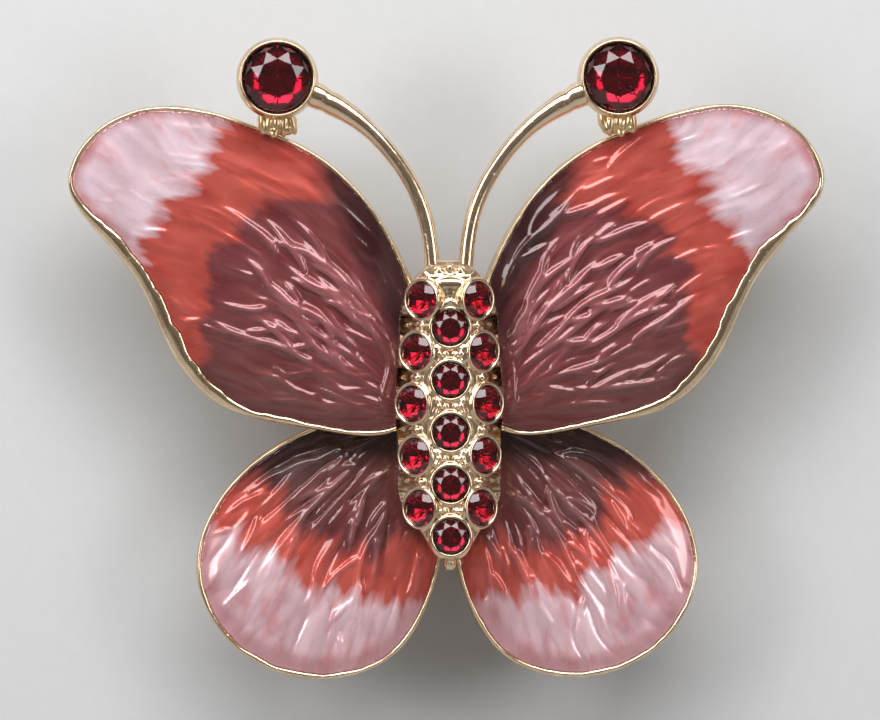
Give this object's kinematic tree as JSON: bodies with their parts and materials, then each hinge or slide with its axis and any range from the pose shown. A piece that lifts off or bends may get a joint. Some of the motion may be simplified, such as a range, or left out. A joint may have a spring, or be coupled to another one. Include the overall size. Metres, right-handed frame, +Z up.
{
  "type": "butterfly brooch",
  "caption": "Butterfly brooch with enamelled wings in gold trays, a stone-set body and antennae, and a hinged pin held by a turning safety catch.",
  "frame": {"origin": "middle of the pin stem's straight working length, on its axis", "axes": "worn: +Z up toward the butterfly's head, face toward -Y, +X to the right of someone who faces it and toward the pin's tip"},
  "size_m": [0.0544, 0.0116, 0.0462],
  "materials": {
    "gold_plate": "polished gold plate",
    "enamel": "glossy pearl enamel, plum to coral to pale pink",
    "red_stone": "cut, foil-backed",
    "pin_metal": "gold-washed steel wire"
  },
  "bodies": {
    "brooch": {"antenna_cup_left": "gold_plate", "antenna_cup_right": "gold_plate", "antenna_left": "gold_plate", "antenna_right": "gold_plate", "antenna_stone_left": "red_stone", "antenna_stone_right": "red_stone", "body_casting": "gold_plate", "catch_housing": "gold_plate", "centre_stone_1": "red_stone", "centre_stone_2": "red_stone", "centre_stone_3": "red_stone", "centre_stone_4": "red_stone", "centre_stone_5": "red_stone", "cup_bridge_left": "gold_plate", "cup_bridge_right": "gold_plate", "hinge_bracket": "gold_plate", "hinge_rivet": "pin_metal", "left_stone_1": "red_stone", "left_stone_2": "red_stone", "left_stone_3": "red_stone", "left_stone_4": "red_stone", "left_stone_5": "red_stone", "lower_enamel_left": "enamel", "lower_enamel_right": "enamel", "lower_wing_left": "gold_plate", "lower_wing_right": "gold_plate", "right_stone_1": "red_stone", "right_stone_2": "red_stone", "right_stone_3": "red_stone", "right_stone_4": "red_stone", "right_stone_5": "red_stone", "upper_enamel_left": "enamel", "upper_enamel_right": "enamel", "upper_wing_left": "gold_plate", "upper_wing_right": "gold_plate"},
    "pin": {"pin_stem": "pin_metal"},
    "roller": {"catch_roller": "gold_plate"}
  },
  "joints": [
    {"name": "pin_hinge", "type": "hinge", "parent": "brooch", "child": "pin", "pos_m": [-0.0154, 0, 0], "axis": [0, 0, 1], "range_deg": [0, 85]},
    {"name": "catch_turn", "type": "hinge", "parent": "brooch", "child": "roller", "pos_m": [0.0149, 0, 0], "axis": [1, 0, 0], "range_deg": [0, 95]}
  ]
}
